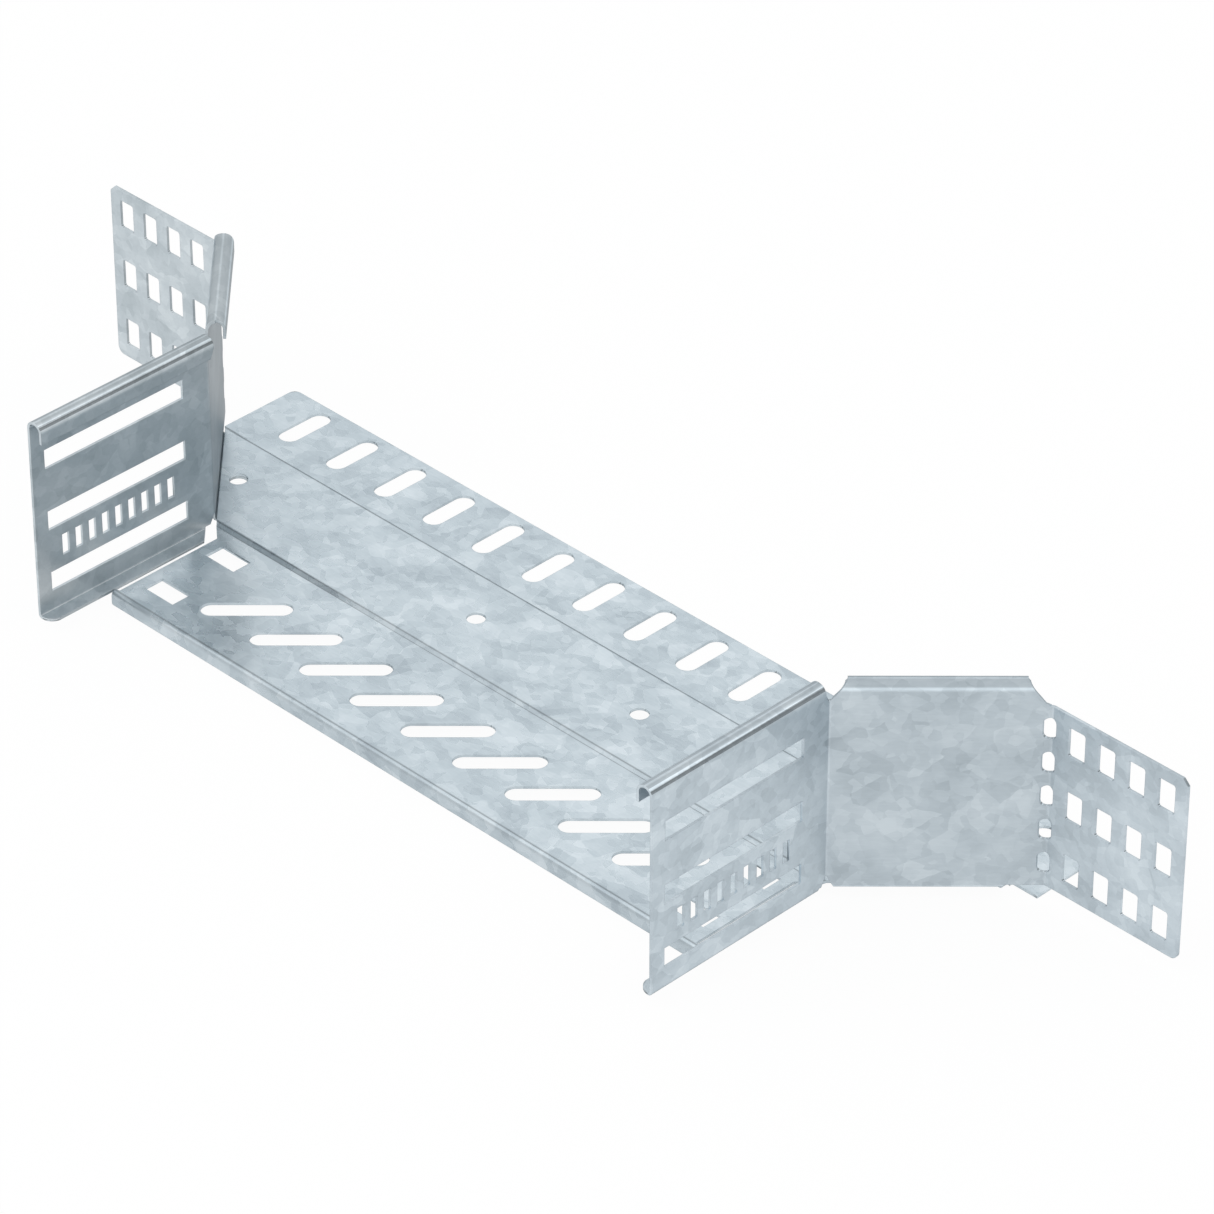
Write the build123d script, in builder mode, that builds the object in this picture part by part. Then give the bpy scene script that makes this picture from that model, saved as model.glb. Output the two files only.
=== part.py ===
"""Add-on branch tee for a perforated cable tray, pressed from galvanised steel sheet.

Three pieces are spot welded into one rigid fitting: a perforated floor plate and two
mirrored sides. Each side is one folded strip: a slotted panel, a 45 degree wall and a
perforated mating flange that lies against the side of the main tray.

Frame: X along the main tray, +Y from the branch run towards the main tray, +Z up.
The origin is on the surface that the fitting stands on, below the middle of its box.
"""
import os
from math import sqrt

from build123d import *

# Sheet and bends
sheet = 1.0             # thickness of every piece
vertical_bend = 1.2     # inside radius of the two upright bends of a side
bottom_bend = 0.5       # inside radius of the folds to a side's bottom flanges
floor_bend = 1.2        # inside radius of the folds of the floor plate

# Side pieces, measured from the near edge and from their own underside
branch_width = 296.0    # over the outer faces of the two panels
panel_length = 80.0     # near edge to the corner of the first bend
flare_width = 50.0      # how far the 45 degree wall runs outwards and backwards
mating_length = 56.4    # corner of the second bend to the free edge
side_height = 81.2      # underside to the crest of the rolled edges
mating_drop = 8.7       # the mating flange is this much lower than the crest
mating_chamfer = 2.2    # cut top corner of the mating flange
mating_corner = 3.0     # rounded bottom corner of the mating flange

# Rolled edges along the top of the panel and the wall
hook_width = 7.0        # over the outside of the roll
hook_depth = 7.6        # crest to the end of the inner leg
hook_panel_end = 1.9    # the panel's roll ends this far before the first bend
hook_wall_start = 1.5   # the wall's roll starts this far after the first bend
hook_wall_end = 2.1     # and ends this far before the second one
hook_slope = 4.1        # run of the sloped cut at its start
hook_far_slope = 5.8    # run of the sloped cut at its end
hook_drop = 4.7         # height of the sloped cut at its start
notch_depth = 6.4       # crest to the bottom of the notch between the rolls

# Bottom flanges of a side
panel_flange = 6.6      # width of the panel's flange
panel_flange_corner = 4.8
panel_flange_end = 3.2  # its mitred end meets the panel this far before the bend
wall_flange = 15.0      # width of the wall's flange, which carries the floor
wall_flange_start = 1.2
wall_flange_setback = 13.2  # from its far end to the second bend
step_gap = 0.4          # from the wall's flange to the bend of the step in the floor

# Perforation of the sides. The rows and columns of holes fill the height and length.
row_first = 12.4        # height of the lowest row above the underside
row_spacing = 25.0
row_clearance = 16.0    # least distance from the top row to the crest
slot_near_margin = 5.75     # long slots to the near edge
slot_far_margin = 11.75     # long slots to the first bend
slot_height = 7.8
vent_spacing = 6.0
vent_width = 3.1
vent_height = 8.4
vent_rise = 12.6        # row of small slots above the lowest row
column_spacing = 12.5
column_edge = 8.4       # last column to the free edge of the mating flange
column_clearance = 6.0  # least distance from the first column to the second bend
window_width = 6.9
window_height = 11.2
window_corner = 1.0
bend_hole_spacing = 13.3
bend_hole_width = 4.3
bend_hole_height = 8.2
bend_hole_shift = 0.6   # from the corner of the bend towards the wall

# Floor plate. Its folds keep their distance from the bends of the sides.
rest_drop = 4.6         # lip and rear strip reach this far below the sides
front_depth = 52.4      # lip to joggle
lip_corner = 2.0        # rounded lower corners of the lip
joggle_setback = 0.6    # the joggle starts this far before the first bend
joggle_run = 1.6
step_setback = 5.6      # rear face of the step to the mating flange
strip_setback = 1.0     # the ears of the rear strip start before the mating flange
strip_reach = 33.3      # the rear strip reaches this far past the mating flange
strip_corner = 3.0
ear_setback = 2.0       # ends of the rear strip to the corners of the second bends
floor_setback = 7.8     # front section to the outer face of each panel
wall_gap = 0.55         # floor edge to the inner face of the 45 degree wall
step_relief = 12.0      # the step ends this far inside the ends of the rear strip

# Perforation of the floor plate
slot_spacing = 25.0
rear_slot_length = 22.6
rear_slot_width = 8.3
rear_slot_setback = 14.6    # middle of the rear slots to the rear edge
diagonal_length = 32.0
diagonal_width = 7.8
diagonal_setback = 26.7     # middle of the diagonal slots to the joggle
bolt_hole = 6.8         # diameter of the round holes
bolt_setback = 20.6     # round holes to the step
bolt_inset = 11.1       # outer round holes to the outside of the wall, along X
inner_holes = 79.0      # spacing of the inner pair
key_length = 14.3       # rectangular holes at the ends of the diagonal slots
key_width = 8.0
key_inset = 13.0        # from the ends of the front section
key_offset = 1.8        # the pair's middle lies this far behind the diagonal slots'
key_spacing = 28.2

# Sizes that follow from those above
diagonal = sqrt(2)
half_width = branch_width / 2
slot_length = panel_length - slot_near_margin - slot_far_margin
slot_middle = (slot_near_margin + panel_length - slot_far_margin) / 2
mating_height = side_height - mating_drop
row_count = int((side_height - row_first - row_clearance) / row_spacing) + 1
row_middle = row_first + row_spacing * (row_count - 1) / 2
bend_hole_count = 2 * row_count - 1
vent_count = int(slot_length / vent_spacing) - 1
column_room = mating_length - column_edge - column_clearance
column_count = int(column_room / column_spacing) + 1
second_bend_line = panel_length + flare_width
joggle_start = panel_length - joggle_setback
lip_face = joggle_start - front_depth
step_face = second_bend_line - step_setback
strip_front = second_bend_line - strip_setback
rear_edge = second_bend_line + strip_reach
strip_length = branch_width + 2 * (flare_width - ear_setback)
floor_width = branch_width - 2 * floor_setback
bolt_line = step_face - bolt_setback
outer_holes = branch_width + 2 * (bolt_line - panel_length - bolt_inset)
rear_slot_line = rear_edge - rear_slot_setback
rear_slot_count = int(strip_length / slot_spacing)
diagonal_line = joggle_start - diagonal_setback
key_line = diagonal_line + key_offset
key_pair = floor_width - 2 * key_inset
diagonal_count = int((key_pair - key_length - diagonal_length) / slot_spacing) + 1

# Reference sizes
near_y = -rear_edge / 2
side_z = rest_drop
corner_y = near_y + panel_length
mating_y = near_y + second_bend_line
mating_edge = half_width + flare_width + mating_length
wall_length = diagonal * flare_width
wall_flange_end = wall_length - wall_flange_setback
hook_radius = hook_width / 2
bend_out = bottom_bend + sheet
floor_out = floor_bend + sheet
roll_start = side_height - hook_radius
through = 4 * sheet

# Planes of the three legs of the right side: x along the leg, y up, z out of the tray
panel_leg = Plane((half_width, near_y, side_z), x_dir=(0, 1, 0), z_dir=(1, 0, 0))
wall_leg = Plane((half_width, corner_y, side_z), x_dir=(1, 1, 0), z_dir=(1, -1, 0))
mating_leg = Plane((mating_edge, mating_y, side_z), x_dir=(1, 0, 0), z_dir=(0, -1, 0))
second_bend = Plane(
    (half_width + flare_width, mating_y, side_z),
    x_dir=(1, diagonal - 1, 0),
    z_dir=(diagonal - 1, -1, 0),
)


def across(leg: Plane, distance: float) -> Plane:
    """Plane across a leg, with x into the tray, y up and z along the leg."""
    start = leg.from_local_coords(Vector(distance, 0, 0))
    return Plane(start, x_dir=-leg.z_dir, z_dir=leg.x_dir)


def rolled_edge(plane: Plane) -> Sketch:
    """Section of the rolled edge: half a tube and its inner leg."""
    leg_end = side_height - hook_depth
    crest = (hook_radius, side_height)
    inner_crest = (hook_radius, side_height - sheet)
    with BuildSketch(plane) as section:
        with BuildLine():
            over = ThreePointArc((0, roll_start), crest, (hook_width, roll_start))
            outside = Line(over @ 1, (hook_width, leg_end))
            foot = Line(outside @ 1, (hook_width - sheet, leg_end))
            inside = Line(foot @ 1, (hook_width - sheet, roll_start))
            under = ThreePointArc(inside @ 1, inner_crest, (sheet, roll_start))
            Line(under @ 1, over @ 0)
        make_face()
    return section.sketch


def bottom_fold(plane: Plane, width: float) -> Sketch:
    """Section of a bottom flange with its fold, up to the straight web."""
    centre = (bend_out, bend_out)
    with BuildSketch(plane) as section:
        with BuildLine():
            outside = CenterArc(centre, bend_out, 180, 90)
            under = Line(outside @ 1, (width, 0))
            edge = Line(under @ 1, (width, sheet))
            top = Line(edge @ 1, (bend_out, sheet))
            inside = CenterArc(centre, bottom_bend, 270, -90)
            Line(inside @ 1, outside @ 0)
        make_face()
    return section.sketch


def folded_strip() -> Sketch:
    """Plan of a side: panel, 45 degree wall and mating flange, with their bends."""
    with BuildSketch(Plane.XY.offset(side_z + bend_out)) as plan:
        with BuildLine():
            FilletPolyline(
                (half_width, near_y),
                (half_width, corner_y),
                (half_width + flare_width, mating_y),
                (mating_edge, mating_y),
                radius=vertical_bend,
            )
            offset(amount=sheet, side=Side.LEFT, closed=True)
        make_face()
    return plan.sketch


def notch_on_wall() -> Sketch:
    """Elevation of what is cut from the top of the wall at the first bend."""
    above = side_height + sheet
    with BuildSketch(wall_leg) as elevation:
        with BuildLine():
            Polyline(
                (-1.2 * sheet, above),
                (hook_wall_start + hook_slope, above),
                (hook_wall_start + hook_slope, side_height),
                (hook_wall_start, side_height - hook_drop),
                (0, side_height - notch_depth),
                (-1.2 * sheet, side_height - notch_depth),
                close=True,
            )
        make_face()
    return elevation.sketch


def notch_on_panel() -> Sketch:
    """Elevation of what is cut from the panel between its roll and the first bend."""
    start = panel_length - hook_panel_end
    with BuildSketch(panel_leg) as elevation:
        with BuildLine():
            Polyline(
                (start, side_height),
                (start, roll_start),
                (panel_length - sheet / 2, side_height - notch_depth),
                (panel_length + 2 * sheet, side_height - notch_depth),
                (panel_length + 2 * sheet, side_height),
                close=True,
            )
        make_face()
    return elevation.sketch


def slope_to_mating() -> Sketch:
    """Elevation of what is cut from the top of the wall at the second bend."""
    above = side_height + sheet
    roll_end = wall_length - hook_wall_end
    with BuildSketch(wall_leg) as elevation:
        with BuildLine():
            Polyline(
                (roll_end - hook_far_slope, above),
                (roll_end - hook_far_slope, side_height),
                (roll_end, mating_height + sheet),
                (wall_length, mating_height),
                (wall_length + 2 * sheet, mating_height),
                (wall_length + 2 * sheet, above),
                close=True,
            )
        make_face()
    return elevation.sketch


def above_mating() -> Sketch:
    """Elevation of what is cut from the top of the mating flange."""
    with BuildSketch(mating_leg) as elevation:
        with Locations((sheet, mating_height)):
            Rectangle(
                mating_length + 2 * sheet,
                side_height,
                align=(Align.MAX, Align.MIN),
            )
    return elevation.sketch


def panel_slots() -> Sketch:
    """Long slots of the panel and, above the lowest one, its row of small slots."""
    with BuildSketch(panel_leg) as elevation:
        with Locations((slot_middle, row_middle)):
            with GridLocations(row_spacing, row_spacing, 1, row_count):
                Rectangle(slot_length, slot_height)
        with Locations((slot_middle, row_first + vent_rise)):
            with GridLocations(vent_spacing, vent_spacing, vent_count, 1):
                Rectangle(vent_width, vent_height)
    return elevation.sketch


def mating_windows() -> Sketch:
    """Windows of the mating flange, three rows of four."""
    column_middle = -column_edge - column_spacing * (column_count - 1) / 2
    with BuildSketch(mating_leg) as elevation:
        with Locations((column_middle, row_middle)):
            with GridLocations(column_spacing, row_spacing, column_count, row_count):
                RectangleRounded(window_width, window_height, window_corner)
    return elevation.sketch


def second_bend_holes() -> Sketch:
    """Holes along the bend between the wall and the mating flange."""
    with BuildSketch(second_bend) as elevation:
        with Locations((-bend_hole_shift, row_middle)):
            with GridLocations(bend_hole_spacing, bend_hole_spacing, 1, bend_hole_count):
                SlotOverall(bend_hole_height, bend_hole_width, rotation=90)
    return elevation.sketch


def panel_flange_waste() -> Sketch:
    """Plan of what is cut from the panel's flange to mitre its end at 45 degrees."""
    end_y = corner_y - panel_flange_end
    with BuildSketch(Plane.XY.offset(side_z)) as plan:
        with BuildLine():
            Polyline(
                (half_width, end_y),
                (half_width - 2 * panel_flange, end_y - 2 * panel_flange),
                (half_width - 2 * panel_flange, corner_y + sheet),
                (half_width, corner_y + sheet),
                close=True,
            )
        make_face()
    return plan.sketch


def wall_flange_waste() -> Sketch:
    """Plan of what is cut from the wall's flange to keep it clear of the step."""
    with BuildSketch(Plane.XY.offset(side_z)) as plan:
        with Locations((half_width, near_y + step_face - floor_out - step_gap)):
            Rectangle(2 * flare_width, 2 * wall_flange, align=(Align.CENTER, Align.MIN))
    return plan.sketch


with BuildPart() as right_side:
    # Upright sheet of all three legs
    extrude(folded_strip(), amount=roll_start - bend_out)

    # Rolled edges of the panel and the wall
    extrude(rolled_edge(across(panel_leg, 0)), amount=panel_length - hook_panel_end)
    roll_run = wall_length - hook_wall_start - hook_wall_end
    extrude(rolled_edge(across(wall_leg, hook_wall_start)), amount=roll_run)

    # Sloped ends, the notch at the first bend and the lower mating flange
    extrude(notch_on_wall(), amount=-hook_width - sheet, mode=Mode.SUBTRACT)
    extrude(notch_on_wall(), amount=sheet / 2, mode=Mode.SUBTRACT)
    extrude(notch_on_panel(), amount=-1.1 * sheet, mode=Mode.SUBTRACT)
    extrude(slope_to_mating(), amount=-hook_width - sheet, mode=Mode.SUBTRACT)
    extrude(slope_to_mating(), amount=sheet / 2, mode=Mode.SUBTRACT)
    extrude(above_mating(), amount=through / 2, both=True, mode=Mode.SUBTRACT)

    # Corners of the mating flange
    free_edge = right_side.edges().filter_by(Axis.Y).group_by(Axis.X)[-1]
    chamfer(free_edge.sort_by(Axis.Z)[-1], mating_chamfer)
    free_edge = right_side.edges().filter_by(Axis.Y).group_by(Axis.X)[-1]
    fillet(free_edge.sort_by(Axis.Z)[0], mating_corner)

    # Perforation
    extrude(panel_slots(), amount=-through / 2, both=True, mode=Mode.SUBTRACT)
    extrude(mating_windows(), amount=through / 2, both=True, mode=Mode.SUBTRACT)
    extrude(second_bend_holes(), amount=through, both=True, mode=Mode.SUBTRACT)

    # Bottom flange of the panel: rounded near corner, mitred far end
    extrude(
        bottom_fold(across(panel_leg, 0), panel_flange),
        amount=panel_length - panel_flange_end,
    )
    extrude(panel_flange_waste(), amount=bend_out, mode=Mode.SUBTRACT)
    near_edges = right_side.edges().filter_by(Axis.Z).group_by(Axis.Y)[0]
    fillet(near_edges.group_by(Axis.Z)[0].sort_by(Axis.X)[0], panel_flange_corner)

    # Bottom flange of the wall, with the hole that the floor shares
    extrude(
        bottom_fold(across(wall_leg, wall_flange_start), wall_flange),
        amount=wall_flange_end - wall_flange_start,
    )
    extrude(wall_flange_waste(), amount=bend_out, mode=Mode.SUBTRACT)
    with Locations((outer_holes / 2, near_y + bolt_line, side_z + sheet)):
        Hole(bolt_hole / 2, depth=2 * sheet)

right_side.part.label = "right_side"


with BuildPart() as left_side:
    mirror(right_side.part, about=Plane.YZ)

left_side.part.label = "left_side"


# Floor plate: its levels, seen from the side
floor_top = side_z + sheet
raised_top = floor_top + sheet
wall_clear = sheet + wall_gap
edge_shift = diagonal * wall_clear


def floor_section() -> Sketch:
    """Side view of the floor: lip, front, joggle, raised middle, step and strip."""
    with BuildSketch(Plane.YZ) as section:
        with BuildLine():
            FilletPolyline(
                (near_y + lip_face, 0),
                (near_y + lip_face, floor_top),
                (near_y + joggle_start, floor_top),
                (near_y + joggle_start + joggle_run, raised_top),
                (near_y + step_face, raised_top),
                (near_y + step_face, sheet),
                (near_y + rear_edge, sheet),
                radius=(floor_out, sheet, 2 * sheet, floor_out, floor_bend),
            )
            offset(amount=sheet, side=Side.RIGHT, closed=True)
        make_face()
    return section.sketch


def floor_outline() -> Sketch:
    """Plan of the floor: narrow front, 45 degree edges, notches and two ears."""
    front_x = floor_width / 2
    front_y = corner_y + edge_shift - (half_width - front_x)
    notch_y = near_y + step_face - sheet
    notch_x = half_width + notch_y - corner_y - edge_shift
    ear_x = strip_length / 2
    relief_x = ear_x - step_relief
    strip_y = near_y + strip_front
    with BuildSketch() as plan:
        with BuildLine():
            Polyline(
                (0, near_y),
                (front_x, near_y),
                (front_x, front_y),
                (notch_x, notch_y),
                (relief_x, notch_y),
                (relief_x, strip_y),
                (ear_x, strip_y),
                (ear_x, near_y + rear_edge),
                (0, near_y + rear_edge),
                close=True,
            )
        make_face()
        rear_corner = plan.vertices().group_by(Axis.Y)[-1].sort_by(Axis.X)[-1]
        fillet(rear_corner, strip_corner)
        mirror(about=Plane.YZ)
    return plan.sketch


def floor_slots() -> Sketch:
    """Slots of the rear strip and of the front section, with the round holes."""
    diagonal_straight = diagonal_length - diagonal_width
    rear_straight = rear_slot_length - rear_slot_width
    with BuildSketch() as plan:
        with Locations((0, near_y + rear_slot_line)):
            with GridLocations(slot_spacing, slot_spacing, rear_slot_count, 1):
                SlotCenterToCenter(rear_straight, rear_slot_width, rotation=90)
        with Locations((0, near_y + diagonal_line)):
            with GridLocations(slot_spacing, slot_spacing, diagonal_count, 1):
                SlotCenterToCenter(diagonal_straight, diagonal_width, rotation=45)
        with Locations((0, near_y + key_line)):
            with GridLocations(key_pair, key_spacing, 2, 2):
                Rectangle(key_length, key_width)
        for spacing in (inner_holes, outer_holes):
            with Locations((0, near_y + bolt_line)):
                with GridLocations(spacing, slot_spacing, 2, 1):
                    Circle(bolt_hole / 2)
    return plan.sketch


with BuildPart() as floor_plate:
    extrude(floor_section(), amount=strip_length / 2, both=True)
    extrude(floor_outline(), amount=raised_top, mode=Mode.INTERSECT)
    extrude(floor_slots(), amount=raised_top, mode=Mode.SUBTRACT)
    lip_ends = floor_plate.edges().filter_by(Axis.Y).group_by(Axis.Y)[0]
    fillet(lip_ends.group_by(Axis.Z)[0], lip_corner)

floor_plate.part.label = "floor_plate"


os.makedirs("parts", exist_ok=True)
export_step(floor_plate.part, "parts/floor_plate.step")
export_step(left_side.part, "parts/left_side.step")
export_step(right_side.part, "parts/right_side.step")
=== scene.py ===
"""Looks of a galvanised branch tee for a perforated cable tray.

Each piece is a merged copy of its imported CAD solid, with a few small corrections of
form and a finish of spangled zinc. It takes the place of its CAD node.
"""
import logging
import math
from dataclasses import dataclass, field
from enum import Enum
from typing import Any, Optional, Union

import bmesh
import bpy
from mathutils import Matrix, Vector


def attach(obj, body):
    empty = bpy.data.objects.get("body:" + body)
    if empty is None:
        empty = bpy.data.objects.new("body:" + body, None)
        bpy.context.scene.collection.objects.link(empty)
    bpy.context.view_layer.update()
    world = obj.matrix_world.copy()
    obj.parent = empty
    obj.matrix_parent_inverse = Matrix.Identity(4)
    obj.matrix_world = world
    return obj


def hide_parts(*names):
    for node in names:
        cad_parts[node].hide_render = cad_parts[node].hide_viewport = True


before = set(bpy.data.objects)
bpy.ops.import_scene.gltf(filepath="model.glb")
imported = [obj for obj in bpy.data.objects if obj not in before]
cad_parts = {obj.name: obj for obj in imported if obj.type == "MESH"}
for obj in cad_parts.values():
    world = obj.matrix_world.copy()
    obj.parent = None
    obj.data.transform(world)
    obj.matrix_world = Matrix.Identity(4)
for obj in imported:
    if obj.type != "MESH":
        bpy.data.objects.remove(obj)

log = logging.getLogger("branch_tee")
DIAGONAL = math.sqrt(0.5)  # part of a length that runs along X or Y at 45 degrees
WHITE = (1.0, 1.0, 1.0, 1.0)
FLAT = 0.66  # brightness of the flat sheet, on the scale of the folds' stops

Shade = tuple[float, float, float]
Place = tuple[float, float, float]


def linear(shade: Shade) -> tuple[float, float, float, float]:
    """Turns a shade as a screen shows it into a shader's colour, by the sRGB curve.

    Args:
        shade: Red, green and blue from 0 to 255.

    Returns:
        The linear colour, with an alpha of 1.
    """
    parts = [part / 255 for part in shade]
    red, green, blue = (
        part / 12.92 if part <= 0.04045 else ((part + 0.055) / 1.055) ** 2.4
        for part in parts
    )
    return (red, green, blue, 1.0)


class Value:
    """A number socket of a shader tree. Sums on it add Math nodes."""

    def __init__(self, shader: "Shader", socket: bpy.types.NodeSocket) -> None:
        """Keeps the socket and the tree that it is in.

        Args:
            shader: The tree that new nodes go to.
            socket: The output that carries the number.
        """
        self.shader = shader
        self.socket = socket

    def _sum(self, operation: str, first: Any, second: Any) -> "Value":
        """Adds one Math node.

        Args:
            operation: The node's operation.
            first: The first number or value.
            second: The second number or value.

        Returns:
            The node's result.
        """
        made = self.shader.node(
            "ShaderNodeMath", {"operation": operation}, {0: first, 1: second}
        )
        return Value(self.shader, made.outputs[0])

    def __add__(self, other: Union["Value", float]) -> "Value":
        """Value plus other."""
        return self._sum("ADD", self, other)

    def __radd__(self, other: float) -> "Value":
        """Number plus value."""
        return self._sum("ADD", other, self)

    def __sub__(self, other: Union["Value", float]) -> "Value":
        """Value minus other."""
        return self._sum("SUBTRACT", self, other)

    def __rsub__(self, other: float) -> "Value":
        """Number minus value."""
        return self._sum("SUBTRACT", other, self)

    def __mul__(self, other: Union["Value", float]) -> "Value":
        """Value times other."""
        return self._sum("MULTIPLY", self, other)

    def __rmul__(self, other: float) -> "Value":
        """Number times value."""
        return self._sum("MULTIPLY", other, self)

    def __truediv__(self, other: Union["Value", float]) -> "Value":
        """Value over other."""
        return self._sum("DIVIDE", self, other)

    def at_most(self, limit: float) -> "Value":
        """The smaller of the value and a number."""
        return self._sum("MINIMUM", self, limit)

    def at_least(self, limit: float) -> "Value":
        """The larger of the value and a number."""
        return self._sum("MAXIMUM", self, limit)


class Shader:
    """The node tree of one material or of the world."""

    def __init__(self, owner: Union[bpy.types.Material, bpy.types.World]) -> None:
        """Empties the owner's tree.

        Args:
            owner: The material or world that the tree belongs to.
        """
        owner.use_nodes = True
        self.tree = owner.node_tree
        self.tree.nodes.clear()

    def node(
        self,
        kind: str,
        settings: Optional[dict[str, Any]] = None,
        inputs: Optional[dict[Union[str, int], Any]] = None,
    ) -> bpy.types.Node:
        """Adds a node. Its settings are made first, because they change its sockets.

        Args:
            kind: The node's type.
            settings: Its properties. "stops" holds the stops of a colour ramp.
            inputs: A number, a colour, a value or a socket for each input.

        Returns:
            The node.
        """
        made = self.tree.nodes.new(kind)
        for name, setting in (settings or {}).items():
            if name == "stops":
                self._set_stops(made.color_ramp, setting)
            else:
                setattr(made, name, setting)
        for name, given in (inputs or {}).items():
            if isinstance(given, Value):
                self.tree.links.new(given.socket, made.inputs[name])
            elif isinstance(given, bpy.types.NodeSocket):
                self.tree.links.new(given, made.inputs[name])
            else:
                made.inputs[name].default_value = given
        return made

    def value(
        self,
        kind: str,
        settings: Optional[dict[str, Any]],
        inputs: dict[Union[str, int], Any],
        output: Union[str, int] = 0,
    ) -> Value:
        """Adds a node and gives one of its outputs as a number.

        Args:
            kind: The node's type.
            settings: Its properties.
            inputs: Its inputs.
            output: The output's name or place.

        Returns:
            The output, ready for sums.
        """
        return Value(self, self.node(kind, settings, inputs).outputs[output])

    @staticmethod
    def _set_stops(
        ramp: bpy.types.ColorRamp, stops: list[tuple[float, tuple[float, ...]]]
    ) -> None:
        """Gives a colour ramp its stops.

        Args:
            ramp: The ramp.
            stops: Place and colour of each stop, from 0 to 1.
        """
        while len(ramp.elements) < len(stops):
            ramp.elements.new(0.5)
        for element, (position, colour) in zip(ramp.elements, stops):
            element.position = position
            element.color = colour


class Grain(Enum):
    """Way that rolling has drawn the spangle of a sheet out, as a turn about Z."""

    FLOOR = 0.0
    RIGHT_SIDE = math.radians(45)
    LEFT_SIDE = math.radians(-45)


class PaintedFoldShade(Enum):
    """Painted highlights and shade along each kind of fold, set by which way the sheet
    faces.

    Each stop gives a turn, from 0 where the sheet is upright to 1 where it is level,
    and the painted brightness there.
    """

    ROLL = (
        (0.000, 0.68),
        (0.200, 0.64),
        (0.390, 0.59),
        (0.460, 0.46),
        (0.500, 0.24),
        (0.680, 0.20),
        (0.740, 0.55),
        (0.780, 0.88),
        (0.830, 0.88),
        (0.870, 0.62),
        (0.910, 0.50),
        (0.990, 0.50),
        (0.998, FLAT),
    )
    WALL_ROLL = (
        (0.000, 0.62),
        (0.120, 0.62),
        (0.240, 0.74),
        (0.340, 0.85),
        (0.430, 0.85),
        (0.520, 0.66),
        (0.600, 0.53),
        (0.990, 0.53),
        (0.998, FLAT),
    )
    FLOOR_FOLD = (
        (0.000, 0.58),
        (0.120, 0.56),
        (0.450, 0.48),
        (0.700, 0.46),
        (0.800, 0.50),
        (0.890, 0.52),
        (0.930, 0.36),
        (0.965, 0.34),
        (0.985, 0.50),
        (0.998, FLAT),
    )


@dataclass(frozen=True)
class ToneMix:
    """Shares of four patterns in the tone of the zinc. They add up to 1.

    Attributes:
        large: Share of the large crystals.
        small: Share of the small crystals.
        clouds: Share of the clouds.
        streaks: Share of the fine streaks.
    """

    large: float = 0.16
    small: float = 0.14
    clouds: float = 0.56
    streaks: float = 0.14


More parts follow.
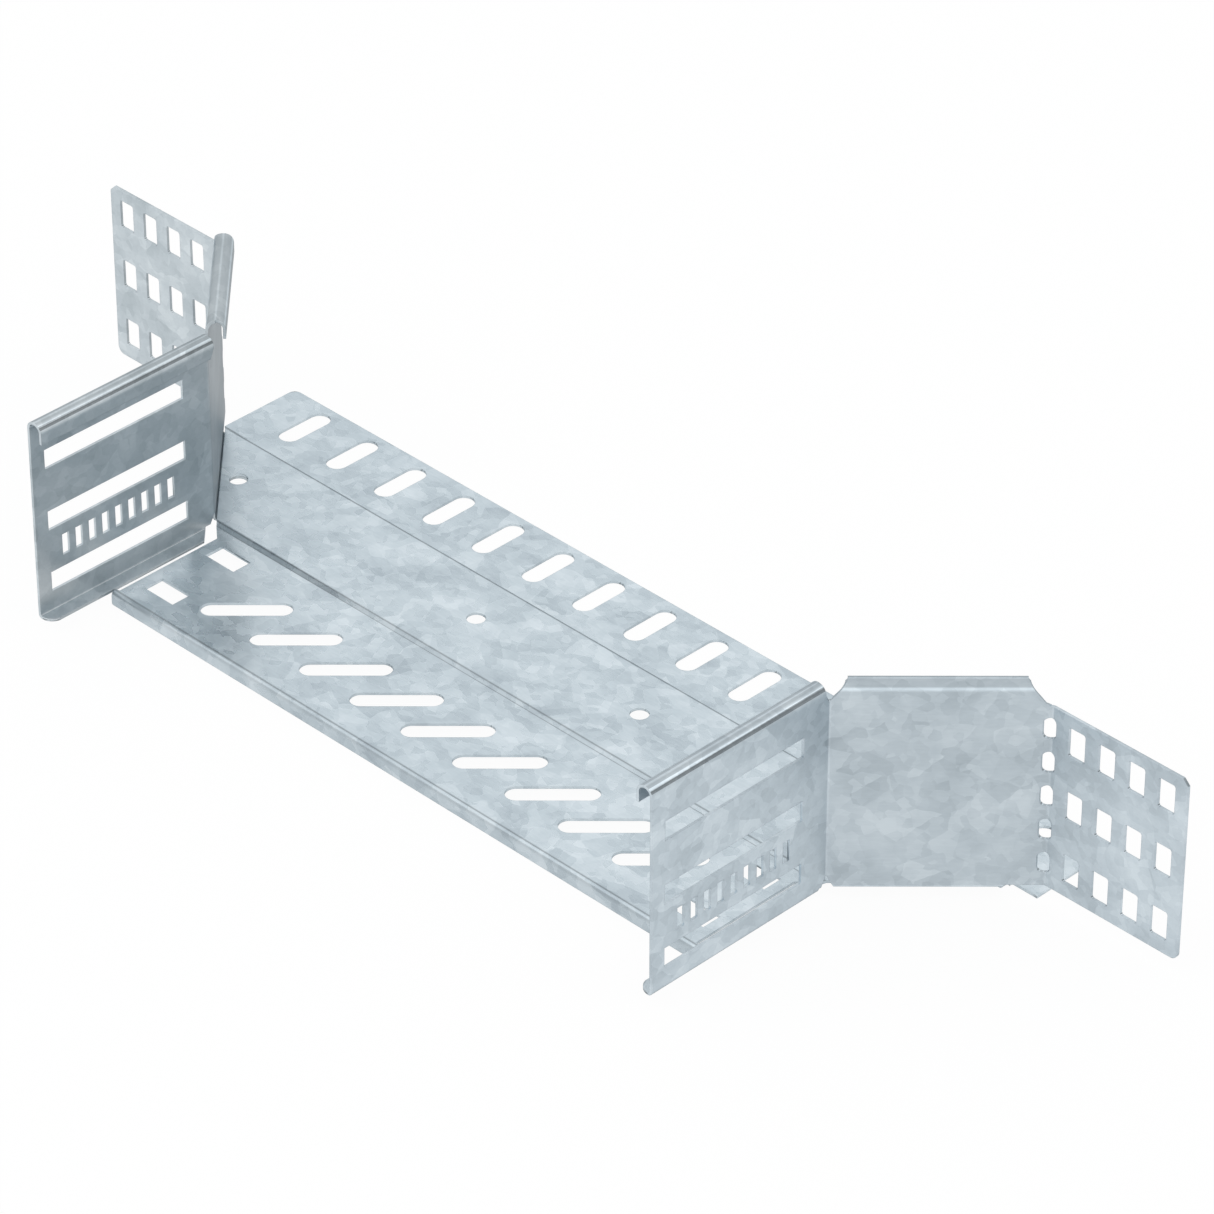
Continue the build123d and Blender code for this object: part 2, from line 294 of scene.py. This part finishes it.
@dataclass(frozen=True)
class SpangledZinc:
    """Strip-galvanised steel: a mosaic of zinc crystals, with painted highlights and
    shade along the folds and painted shade on the inner side.

    Attributes:
        name: The material's name.
        dark: Shade of the dull crystals.
        middle: Shade of most of the sheet.
        light: Shade of the bright crystals.
        grain: Way that the crystals are drawn out.
        fold_shading: Painted highlights and shade along the folds that run along or
            across the branch.
        inward: Way that the inner side of the folded sheet faces, where shade is
            painted.
        inner_shade_kept: Share of its brightness that the inner side keeps under the
            painted shade.
        crystal: Size of a large crystal, in metres.
        small_share: Size of a small crystal, as a share of a large one.
        ragged: How far a crystal's border is pulled about, as a share of its size.
        draw: How many times longer than wide the crystals are.
        brushed: The same for the fine streaks.
        mix: Shares of the patterns in the tone.
        tones: Tones at which the dark, middle and light shades stand.
        satin: Roughness of the zinc.
        mottle: How much the small crystals and the clouds each vary the roughness.
        smoothest: Lowest roughness.
        fray: How much the streaks fray the painted bands along the folds.
        onset: How far inwards a face looks where the painted shade starts.
        growth: How fast the painted shade deepens from there.
        lean: How fast the painted shade fades as the sheet leaves the upright.
        rim: Radius of the worn rims of the cut sheet, in metres.
    """

    name: str
    dark: Shade
    middle: Shade
    light: Shade
    grain: Grain
    fold_shading: PaintedFoldShade = PaintedFoldShade.ROLL
    inward: Place = (0.0, 0.0, 0.0)
    inner_shade_kept: float = 0.68
    crystal: float = 0.0085
    small_share: float = 0.4
    ragged: float = 0.2
    draw: float = 1.15
    brushed: float = 6.0
    mix: ToneMix = ToneMix()
    tones: tuple[float, float, float] = (0.30, 0.50, 0.70)
    satin: float = 0.34
    mottle: float = 0.06
    smoothest: float = 0.2
    fray: float = 0.12
    onset: float = 0.2
    growth: float = 4.0
    lean: float = 3.0
    rim: float = 0.0003

    def material(self) -> bpy.types.Material:
        """Builds the material.

        Returns:
            The finished material.
        """
        made = bpy.data.materials.new(self.name)
        shader = Shader(made)
        where = self._drawn_out(shader, self.draw)
        lengthwise = self._drawn_out(shader, self.brushed)
        large = self._crystals(shader, where, self.crystal)
        small = self._crystals(shader, where, self.small_share * self.crystal)
        clouds = self._noise(
            shader, where, scale=0.35 / self.crystal, detail=4.0, distortion=0.4
        )
        streaks = self._noise(
            shader, lengthwise, scale=9.0 / self.crystal, detail=2.0, distortion=0.0
        )
        tone = (
            self.mix.large * large
            + self.mix.small * small
            + self.mix.clouds * clouds
            + self.mix.streaks * streaks
        )
        shades = (linear(shade) for shade in (self.dark, self.middle, self.light))
        stops = list(zip(self.tones, shades))
        zinc = shader.node("ShaderNodeValToRGB", {"stops": stops}, {"Fac": tone})
        rough = (
            self.satin + self.mottle * (small - 0.5) + self.mottle * (clouds - 0.5)
        ).at_least(self.smoothest)
        rims = shader.node("ShaderNodeBevel", {"samples": 6}, {"Radius": self.rim})
        bump = shader.node(
            "ShaderNodeBump",
            None,
            {
                "Strength": 0.05,
                "Distance": 0.00005,
                "Height": streaks,
                "Normal": rims.outputs["Normal"],
            },
        )
        # Painted light: the zinc's colour is scaled by painted highlights and shade
        # along the folds and by painted shade on the inner side.
        painted_zinc = shader.node(
            "ShaderNodeVectorMath",
            {"operation": "SCALE"},
            {0: zinc.outputs["Color"], "Scale": self._painted_shading(shader, streaks)},
        )
        surface = shader.node(
            "ShaderNodeBsdfPrincipled",
            None,
            {
                "Base Color": painted_zinc.outputs["Vector"],
                "Roughness": rough,
                "Metallic": 0.85,
                "Specular Tint": (0.5, 0.53, 0.55, 1.0),
                "Normal": bump.outputs["Normal"],
            },
        )
        shader.node(
            "ShaderNodeOutputMaterial", None, {"Surface": surface.outputs["BSDF"]}
        )
        return made

    def _painted_shading(self, shader: Shader, streaks: Value) -> Value:
        """Painted light on the sheet: painted highlights and shade in bands along the
        folds, and painted shade on the inner side.

        Args:
            shader: The tree to add to.
            streaks: Fine noise that frays the bands.

        Returns:
            The painted brightness, where 1 leaves the zinc's colour as it is.
        """
        facing = shader.node("ShaderNodeTexCoord").outputs["Normal"]
        parts = shader.node("ShaderNodeSeparateXYZ", None, {"Vector": facing})
        east, north, up = (Value(shader, parts.outputs[axis]) for axis in "XYZ")
        steep = shader.value("ShaderNodeMath", {"operation": "ABSOLUTE"}, {0: up})
        # Painted highlights and shade in bands along the folds, chosen by which way the
        # sheet faces.
        straight = self._straight(shader, east, north, up)
        turned = steep + self.fray * (streaks - 0.5) * (1.0 - steep)
        square = self._banded(shader, self.fold_shading, turned)
        slanted = self._banded(shader, PaintedFoldShade.WALL_ROLL, turned)
        mixed = straight * square + (1.0 - straight) * slanted
        folds = mixed * (1.0 / FLAT)
        # Painted shade: upright faces that look into the branch are darkened.
        inner = shader.value(
            "ShaderNodeVectorMath",
            {"operation": "DOT_PRODUCT"},
            {0: facing, 1: self.inward},
            "Value",
        )
        upright = (1.0 - self.lean * steep).at_least(0.0)
        inwards = (self.growth * (inner - self.onset)).at_least(0.0).at_most(1.0)
        return folds * (1.0 - (1.0 - self.inner_shade_kept) * (inwards * upright))

    @staticmethod
    def _straight(shader: Shader, east: Value, north: Value, up: Value) -> Value:
        """1 on sheet that faces along X or Y, and 0 on sheet at 45 degrees to them.

        Args:
            shader: The tree to add to.
            east: Part of the sheet's normal along X.
            north: Part of it along Y.
            up: Part of it along Z.

        Returns:
            The mask.
        """
        over_one = 1.0001  # keeps level sheet from a division by zero
        return shader.value(
            "ShaderNodeMath",
            {"operation": "ABSOLUTE"},
            {0: (east * east - north * north) / (over_one - up * up)},
        )

    @staticmethod
    def _banded(shader: Shader, fold: PaintedFoldShade, turned: Value) -> Value:
        """Painted highlights and shade along one kind of fold.

        Args:
            shader: The tree to add to.
            fold: The kind of fold.
            turned: How far the sheet has turned, from 0 to 1.

        Returns:
            The brightness.
        """
        stops = [(turn, (part, part, part, 1.0)) for turn, part in fold.value]
        return shader.value("ShaderNodeValToRGB", {"stops": stops}, {"Fac": turned})

    def _drawn_out(self, shader: Shader, draw: float) -> bpy.types.NodeSocket:
        """Places on the sheet, squeezed along the grain to draw patterns out.

        Args:
            shader: The tree to add to.
            draw: How many times longer they come out.

        Returns:
            The places.
        """
        places = shader.node("ShaderNodeTexCoord")
        turned = shader.node(
            "ShaderNodeMapping",
            {"vector_type": "TEXTURE"},
            {
                "Vector": places.outputs["Object"],
                "Rotation": (0.0, 0.0, self.grain.value),
                "Scale": (draw, 1.0, 1.0),
            },
        )
        return turned.outputs["Vector"]

    @staticmethod
    def _noise(
        shader: Shader,
        where: bpy.types.NodeSocket,
        scale: float,
        detail: float,
        distortion: float,
    ) -> Value:
        """Soft noise from 0 to 1.

        Args:
            shader: The tree to add to.
            where: Places on the sheet.
            scale: Patches in a metre.
            detail: Octaves.
            distortion: How far the patches are pulled about.

        Returns:
            The noise.
        """
        return shader.value(
            "ShaderNodeTexNoise",
            {"noise_dimensions": "3D"},
            {
                "Vector": where,
                "Scale": scale,
                "Detail": detail,
                "Roughness": 0.55,
                "Distortion": distortion,
            },
        )

    def _crystals(
        self, shader: Shader, where: bpy.types.NodeSocket, size: float
    ) -> Value:
        """One random number for each zinc crystal. The borders are a little ragged.

        Args:
            shader: The tree to add to.
            where: Places on the sheet.
            size: Size of a crystal, in metres.

        Returns:
            The numbers, from 0 to 1.
        """
        unrest = shader.node(
            "ShaderNodeTexNoise",
            {"noise_dimensions": "3D"},
            {"Vector": where, "Scale": 2.0 / size, "Detail": 1.0},
        )
        pull = shader.node(
            "ShaderNodeVectorMath",
            {"operation": "SCALE"},
            {0: unrest.outputs["Color"], "Scale": self.ragged * size},
        )
        pulled = shader.node(
            "ShaderNodeVectorMath",
            {"operation": "ADD"},
            {0: where, 1: pull.outputs["Vector"]},
        )
        cells = shader.node(
            "ShaderNodeTexVoronoi",
            {"voronoi_dimensions": "3D", "feature": "F1"},
            {"Vector": pulled.outputs["Vector"], "Scale": 1.0 / size},
        )
        return shader.value(
            "ShaderNodeSeparateColor", None, {"Color": cells.outputs["Color"]}, "Red"
        )


@dataclass
class PressedSheet:
    """One pressed piece of the fitting, remade from a merged copy of its CAD node.

    Attributes:
        node: The CAD node's name.
        finish: The zinc that it is dressed in.
        slot: Name of a material slot. It is not used.
        merge: Distance within which loose corners of the CAD mesh are one, in metres.
        crease: Angle from which an edge between two faces stays sharp.
    """

    node: str
    finish: SpangledZinc
    slot: str
    merge: float = field(default=1e-6, kw_only=True)
    crease: float = field(default=math.radians(28), kw_only=True)

    def dress(self) -> bpy.types.Object:
        """Makes the sheet in place of the node, and gives it its finish.

        Returns:
            The sheet's object.
        """
        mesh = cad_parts[self.node].data.copy()
        self._merge(mesh)
        piece = bpy.data.objects.new(f"{self.node}_sheet", mesh)
        bpy.context.scene.collection.objects.link(piece)
        self._shape(piece)
        self._smooth(piece)
        piece.data.materials.clear()
        piece.data.materials.append(self.finish.material())
        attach(piece, "root")
        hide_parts(self.node)
        log.info("%s shaped and dressed in %s", piece.name, self.finish.name)
        return piece

    def _shape(self, piece: bpy.types.Object) -> None:
        """Leaves the form of the CAD node as it is."""

    def _merge(self, mesh: bpy.types.Mesh) -> None:
        """Joins the loose triangles of a CAD mesh.

        Args:
            mesh: The mesh to join.
        """
        work = bmesh.new()
        work.from_mesh(mesh)
        bmesh.ops.remove_doubles(work, verts=work.verts, dist=self.merge)
        work.to_mesh(mesh)
        work.free()

    def _smooth(self, piece: bpy.types.Object) -> None:
        """Shades the folds smooth, and keeps the flats flat and the rims sharp.

        Args:
            piece: The sheet.
        """
        piece.data.shade_smooth()
        piece.data.set_sharp_from_angle(angle=self.crease)
        weigh = piece.modifiers.new("weigh", "WEIGHTED_NORMAL")
        weigh.keep_sharp = True
        weigh.weight = 100
        self._apply(piece)

    @staticmethod
    def _apply(piece: bpy.types.Object) -> None:
        """Bakes the piece's modifiers into its mesh and removes them.

        Args:
            piece: The piece.
        """
        graph = bpy.context.evaluated_depsgraph_get()
        baked = bpy.data.meshes.new_from_object(
            piece.evaluated_get(graph), preserve_all_data_layers=True, depsgraph=graph
        )
        piece.modifiers.clear()
        piece.data = baked


@dataclass
class SteppedFloor(PressedSheet):
    """The floor plate, whose lip is a little longer than the section behind it.

    Attributes:
        edge: Distance of the front section's side edges from the middle, in metres.
        fold: Y of the line where the lip's fold meets the front section.
        joggle: Y that the front section stays in front of.
        inset: How far the side edges move inwards.
        lip_reach: How far the ends of the lip move outwards.
        lip_end: Distance from the middle at which the lip's rounded corners start.
        corner_height: Height of those corners.
        corner_share: How much of their size they keep.
        hole_edge: X of the outer edges of the rectangular holes at the right end.
        hole_reach: How far those edges move outwards.
        hair: How far from its place a corner may be and still count as there.
    """

    edge: float = 0.1402
    fold: float = -0.05245
    joggle: float = -0.0070
    inset: float = 0.0009
    lip_reach: float = 0.0010
    lip_end: float = 0.1382
    corner_height: float = 0.0020
    corner_share: float = 0.4
    hole_edge: float = 0.13435
    hole_reach: float = 0.0009
    hair: float = 1e-5

    def _shape(self, piece: bpy.types.Object) -> None:
        """Moves the side edges, the ends of the lip and the edges of two holes.

        Args:
            piece: The sheet.
        """
        for vertex in piece.data.vertices:
            if vertex.co.y < self.fold - self.hair:
                self._lengthen(vertex)
            elif vertex.co.y < self.joggle:
                self._narrow(vertex)

    def _lengthen(self, vertex: bpy.types.MeshVertex) -> None:
        """Moves a corner of the lip outwards where it is at one of the lip's ends.

        Args:
            vertex: The corner.
        """
        across, height = vertex.co.x, vertex.co.z
        if abs(across) <= self.lip_end - self.hair:
            return
        end = self.edge
        if height < self.corner_height + self.hair:
            end -= self.corner_share * (self.edge - abs(across))
            vertex.co.z = self.corner_share * height
        vertex.co.x = math.copysign(end + self.lip_reach, across)

    def _narrow(self, vertex: bpy.types.MeshVertex) -> None:
        """Moves a corner of the front section's side edges or of the two holes.

        Args:
            vertex: The corner.
        """
        across = vertex.co.x
        if abs(abs(across) - self.edge) < self.hair:
            vertex.co.x -= math.copysign(self.inset, across)
        elif abs(across - self.hole_edge) < self.hair:
            vertex.co.x += self.hole_reach


class Hand(Enum):
    """Which side of the branch a folded side stands on, as the sign of its X."""

    RIGHT = 1.0
    LEFT = -1.0


@dataclass(frozen=True)
class Cut:
    """A block that is taken away from a sheet: a flat outline, swept one way.

    Attributes:
        origin: Where both distances of the outline are zero.
        along: Way of its first distance.
        across: Way of its second distance.
        spots: Both distances of each corner, in metres.
        sweep: Way from the block's first face to its last.
    """

    origin: Vector
    along: Vector
    across: Vector
    spots: tuple[tuple[float, float], ...]
    sweep: Vector

    def block(self) -> bpy.types.Mesh:
        """Builds the block.

        Returns:
            Its mesh.
        """
        work = bmesh.new()
        outline = [
            work.verts.new(self.origin + self.along * first + self.across * second)
            for first, second in self.spots
        ]
        swept = bmesh.ops.extrude_face_region(work, geom=[work.faces.new(outline)])
        moved = [part for part in swept["geom"] if isinstance(part, bmesh.types.BMVert)]
        bmesh.ops.translate(work, verts=moved, vec=self.sweep)
        bmesh.ops.recalc_face_normals(work, faces=work.faces)
        mesh = bpy.data.meshes.new("sheet_cutter")
        work.to_mesh(mesh)
        work.free()
        return mesh


@dataclass
class FoldedSide(PressedSheet):
    """A side with the small cuts that its blank had before it was folded and rolled.

    The roll on the 45 degree wall is cut square behind its crest, so that only its
    front keeps the long slope. The panel's roll ends in a slant, and a small notch
    relieves the foot of the first bend. The panel's flange is a little narrower than in
    the CAD.

    Attributes:
        hand: Side of the branch.
        bend: X and Y of the first bend's outer corner on the right side, in metres.
        crest: Start and end of the wall's crest, along the wall from the first bend.
        behind: How far behind the sheet's outer face a roll's crest lies.
        roll_foot: Height above the ground from which the wall's roll is cut.
        leg: Lower and upper height of the slant at the end of the panel's roll.
        leg_end: Distance of the panel's roll from the first bend.
        slant: How much shorter the foot of that roll is than its crest.
        flange_edge: Distance of the panel's flange edge from its outer face.
        notch: Half the width of the notch at the first bend, and the height of its tip.
        seam: Distance within which corners that the cuts left apart are one.
    """

    hand: Hand
    bend: tuple[float, float] = (0.148, -0.00165)
    crest: tuple[float, float] = (0.0056, 0.06281)
    behind: float = 0.0035
    roll_foot: float = 0.0776
    leg: tuple[float, float] = (0.0778, 0.0822)
    leg_end: float = 0.0019
    slant: float = 0.0018
    flange_edge: float = 0.0065
    notch: tuple[float, float] = (0.0030, 0.0100)
    seam: float = 2e-6

    def __post_init__(self) -> None:
        """Works out where the first bend is, and the ways along and into the sheet."""
        sign = self.hand.value
        self.corner = Vector((sign * self.bend[0], self.bend[1], 0.0))
        self.rise = Vector((0.0, 0.0, 1.0))
        self.wall = Vector((sign * DIAGONAL, DIAGONAL, 0.0))
        self.into_wall = Vector((-sign * DIAGONAL, DIAGONAL, 0.0))
        self.panel = Vector((0.0, 1.0, 0.0))
        self.into_panel = Vector((-sign, 0.0, 0.0))

    def _shape(self, piece: bpy.types.Object) -> None:
        """Takes the cuts away from the sheet.

        Args:
            piece: The sheet.
        """
        start, end = self.crest
        past_crest = 0.007
        self._take(piece, self._wall_roll_cut(start - past_crest, start))
        self._take(piece, self._wall_roll_cut(end, end + past_crest))
        self._take(piece, self._panel_roll_cut())
        self._take(piece, self._flange_cut())
        self._take(piece, self._notch_cut())
        self._close(piece.data)

    def _wall_roll_cut(self, near: float, far: float) -> Cut:
        """What squares one end of the wall's roll, behind its crest.

        Args:
            near: Start of the cut, along the wall from the first bend.
            far: Its end.

        Returns:
            The cut.
        """
        crest, past_roll, over_roll = self.behind, 0.009, 0.012
        return Cut(
            self.corner + self.rise * self.roll_foot,
            self.wall,
            self.into_wall,
            ((near, crest), (far, crest), (far, past_roll), (near, past_roll)),
            self.rise * over_roll,
        )

    def _panel_roll_cut(self) -> Cut:
        """What slants the end of the panel's roll.

        Returns:
            The cut.
        """
        past_end, through_leg = 0.001, 0.005
        low, high = self.leg
        top = -self.leg_end
        foot, clear = top - self.slant, top + past_end
        return Cut(
            self.corner + self.into_panel * self.behind,
            self.panel,
            self.rise,
            ((foot, low), (top, high), (clear, high), (clear, low)),
            self.into_panel * through_leg,
        )

    def _flange_cut(self) -> Cut:
        """What trims the edge of the panel's flange.

        Returns:
            The cut.
        """
        under_flange, height = 0.003, 0.005
        rear, front, width = 0.002, -0.085, 0.002
        edge = self.corner + self.into_panel * self.flange_edge
        return Cut(
            edge + self.rise * under_flange,
            self.panel,
            self.into_panel,
            ((rear, 0.0), (front, 0.0), (front, width), (rear, width)),
            self.rise * height,
        )

    def _notch_cut(self) -> Cut:
        """What relieves the foot of the first bend.

        Returns:
            The cut.
        """
        outside, through_sheet, foot = 0.003, 0.007, 0.004
        width, tip = self.notch
        into_bend = (self.into_wall + self.into_panel).normalized()
        return Cut(
            self.corner - into_bend * outside,
            (self.wall + self.panel).normalized(),
            self.rise,
            ((-width, foot), (width, foot), (0.0, tip)),
            into_bend * through_sheet,
        )

    def _take(self, piece: bpy.types.Object, cut: Cut) -> None:
        """Takes one cut away from the sheet.

        Args:
            piece: The sheet.
            cut: The cut.
        """
        block = cut.block()
        cutter = bpy.data.objects.new(block.name, block)
        bpy.context.scene.collection.objects.link(cutter)
        less = piece.modifiers.new("cut", "BOOLEAN")
        less.operation, less.solver, less.object = "DIFFERENCE", "EXACT", cutter
        self._apply(piece)
        bpy.data.objects.remove(cutter)
        bpy.data.meshes.remove(block)

    def _close(self, mesh: bpy.types.Mesh) -> None:
        """Joins what the cuts left a hair apart, and parts the faces into triangles.

        Args:
            mesh: The mesh to close.
        """
        work = bmesh.new()
        work.from_mesh(mesh)
        bmesh.ops.dissolve_degenerate(work, edges=work.edges, dist=self.seam)
        bmesh.ops.remove_doubles(work, verts=work.verts, dist=self.seam)
        bmesh.ops.triangulate(work, faces=work.faces, ngon_method="BEAUTY")
        bmesh.ops.dissolve_degenerate(work, edges=work.edges, dist=self.seam)
        work.to_mesh(mesh)
        work.free()


@dataclass(frozen=True)
class StudioLamp:
    """A soft rectangular lamp that faces the fitting.

    Attributes:
        name: The lamp's name.
        place: Where it hangs, in metres.
        size: Length of its sides.
        watts: Its power.
    """

    name: str
    place: Place
    size: float
    watts: float


@dataclass
class Studio:
    """Pale floor, white backdrop and soft lamps.

    Attributes:
        reach: Half the length of the floor's sides, in metres.
        glow: Share of plain white in the floor as it is seen.
        air: Strength of the light from all round.
        lamps: The lamps.
    """

    reach: float = 40.0
    glow: float = 0.95
    air: float = 0.96
    lamps: tuple[StudioLamp, ...] = (
        StudioLamp("key_lamp", (-1.6, -3.0, 3.8), 4.0, 36.0),
        StudioLamp("right_lamp", (3.8, 0.6, 2.8), 3.2, 16.0),
    )

    def build(self) -> None:
        """Builds the floor, the backdrop and the lamps."""
        self._floor()
        self._backdrop()
        for lamp in self.lamps:
            self._hang(lamp)
        log.info("studio built with %d lamps", len(self.lamps))

    @staticmethod
    def _seen(shader: Shader) -> Value:
        """1 for rays that show the backdrop: straight, mirrored or through glass.

        Args:
            shader: The tree to add to.

        Returns:
            The mask.
        """
        rays = shader.node("ShaderNodeLightPath")
        straight = Value(shader, rays.outputs["Is Camera Ray"])
        mirrored = Value(shader, rays.outputs["Is Glossy Ray"])
        through = Value(shader, rays.outputs["Is Transmission Ray"])
        return (straight + mirrored + through).at_most(1.0)

    def _floor(self) -> None:
        """Makes the floor, pale enough to stay white and still keep a shadow."""
        far = self.reach
        mesh = bpy.data.meshes.new("studio_floor")
        corners = [(-far, -far, 0), (far, -far, 0), (far, far, 0), (-far, far, 0)]
        mesh.from_pydata(corners, [], [(0, 1, 2, 3)])
        floor = bpy.data.objects.new("studio_floor", mesh)
        bpy.context.scene.collection.objects.link(floor)
        made = bpy.data.materials.new("studio_white")
        shader = Shader(made)
        matt = shader.node(
            "ShaderNodeBsdfDiffuse", None, {"Color": (0.9, 0.9, 0.9, 1.0)}
        )
        white = shader.node(
            "ShaderNodeEmission", None, {"Color": WHITE, "Strength": 1.0}
        )
        mix = shader.node(
            "ShaderNodeMixShader",
            None,
            {
                0: self.glow * self._seen(shader),
                1: matt.outputs["BSDF"],
                2: white.outputs["Emission"],
            },
        )
        shader.node(
            "ShaderNodeOutputMaterial", None, {"Surface": mix.outputs["Shader"]}
        )
        mesh.materials.append(made)

    def _backdrop(self) -> None:
        """Makes the world: soft light all round, and plain white where it is seen."""
        world = bpy.data.worlds.new("studio_air")
        bpy.context.scene.world = world
        shader = Shader(world)
        light = shader.node(
            "ShaderNodeBackground",
            None,
            {"Color": (0.98, 0.99, 1.0, 1.0), "Strength": self.air},
        )
        white = shader.node(
            "ShaderNodeBackground", None, {"Color": WHITE, "Strength": 1.0}
        )
        mix = shader.node(
            "ShaderNodeMixShader",
            None,
            {
                0: self._seen(shader),
                1: light.outputs["Background"],
                2: white.outputs["Background"],
            },
        )
        shader.node("ShaderNodeOutputWorld", None, {"Surface": mix.outputs["Shader"]})

    @staticmethod
    def _hang(lamp: StudioLamp) -> None:
        """Hangs one lamp and turns it to the fitting.

        Args:
            lamp: The lamp's facts.
        """
        data = bpy.data.lights.new(lamp.name, "AREA")
        data.shape = "SQUARE"
        data.size = lamp.size
        data.energy = lamp.watts
        made = bpy.data.objects.new(lamp.name, data)
        made.location = Vector(lamp.place)
        made.rotation_mode = "QUATERNION"
        made.rotation_quaternion = (-made.location).to_track_quat("-Z", "Y")
        bpy.context.scene.collection.objects.link(made)


@dataclass(frozen=True)
class PhotoCamera:
    """The camera at the photograph's viewpoint.

    Attributes:
        place: Where it stands, in metres.
        azimuth: Way it looks, in degrees from +Y towards -X.
        elevation: How far it looks down, in degrees.
        roll: Its tilt about the line of sight, in degrees.
        lens: Focal length, in millimetres.
        sensor: Width of the sensor, in millimetres.
    """

    place: Place = (1.24497, -1.19614, 1.24431)
    azimuth: float = 45.0623
    elevation: float = 34.8656
    roll: float = 0.023
    lens: float = 186.88
    sensor: float = 36.0

    def build(self) -> None:
        """Makes the camera and gives it to the scene."""
        az, el, roll = (
            math.radians(turn) for turn in (self.azimuth, self.elevation, self.roll)
        )
        ahead = Vector(
            (-math.sin(az) * math.cos(el), math.cos(az) * math.cos(el), -math.sin(el))
        )
        level = Vector((math.cos(az), math.sin(az), 0.0))
        rise = level.cross(ahead)
        right = level * math.cos(roll) + rise * math.sin(roll)
        up = right.cross(ahead)
        data = bpy.data.cameras.new("photo_camera")
        data.sensor_width = self.sensor
        data.lens = self.lens
        data.clip_start, data.clip_end = 0.05, 200.0
        made = bpy.data.objects.new("photo_camera", data)
        turn = Matrix((right, up, -ahead)).transposed().to_4x4()
        made.matrix_world = Matrix.Translation(Vector(self.place)) @ turn
        bpy.context.scene.collection.objects.link(made)
        bpy.context.scene.camera = made
        log.info("camera at %s", self.place)


def pieces() -> list[PressedSheet]:
    """The three pressed pieces, with the zinc of the coil that each was cut from.

    Returns:
        The pieces, floor first.
    """
    floor_zinc = SpangledZinc(
        "floor_zinc",
        (177, 189, 197),
        (199, 211, 218),
        (220, 230, 236),
        Grain.FLOOR,
        PaintedFoldShade.FLOOR_FOLD,
        satin=0.28,
    )
    right_zinc = SpangledZinc(
        "right_side_zinc",
        (172, 183, 190),
        (191, 202, 209),
        (210, 220, 226),
        Grain.RIGHT_SIDE,
        # inward sets where shade is painted: on the faces that look into the branch.
        inward=(-DIAGONAL, DIAGONAL, 0.0),
    )
    left_zinc = SpangledZinc(
        "left_side_zinc",
        (177, 187, 192),
        (196, 205, 210),
        (215, 223, 227),
        Grain.LEFT_SIDE,
        inward=(DIAGONAL, DIAGONAL, 0.0),
    )
    return [
        SteppedFloor("floor_plate", floor_zinc, "galvanised_floor"),
        FoldedSide("right_side", right_zinc, "galvanised_side", Hand.RIGHT),
        FoldedSide("left_side", left_zinc, "galvanised_side", Hand.LEFT),
    ]


def main() -> None:
    """Dresses the fitting, lights it and places the camera."""
    logging.basicConfig(level=logging.INFO, format="%(name)s: %(message)s")
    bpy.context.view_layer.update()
    for piece in pieces():
        piece.dress()
    Studio().build()
    PhotoCamera().build()
    bpy.context.scene.view_settings.view_transform = "Standard"


if __name__ == "__main__":
    main()
